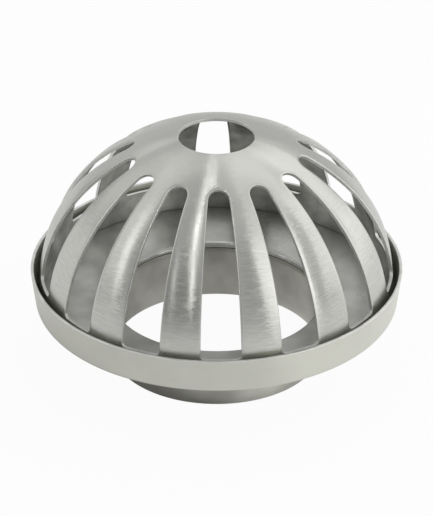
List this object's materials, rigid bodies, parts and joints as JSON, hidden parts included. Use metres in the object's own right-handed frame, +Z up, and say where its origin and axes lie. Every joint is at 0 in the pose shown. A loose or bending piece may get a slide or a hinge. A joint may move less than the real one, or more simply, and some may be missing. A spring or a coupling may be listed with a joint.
{
  "type": "flat roof drain",
  "caption": "Flat roof drain of brushed stainless steel: a loose slotted dome strainer stands in a round rimmed pan whose spigot goes down into the rain pipe.",
  "frame": {"origin": "centre of the spigot's lower end, on the drain's axis", "axes": "+Z up along the drain's axis, from the rain pipe towards the dome; -Y is the side with a slot almost straight in front"},
  "size_m": [0.1468, 0.1468, 0.0956],
  "materials": {
    "dome_strainer": "stainless steel, brushed round the axis, cut edges left bright",
    "pan": "stainless steel, finely brushed round the rim, duller and mottled on the floor",
    "spigot": "stainless steel tube, matt and slightly brown, as left by rolling and welding"
  },
  "bodies": {
    "root": {"dome_strainer": "dome_strainer", "pan": "pan", "spigot": "spigot"}
  },
  "joints": []
}
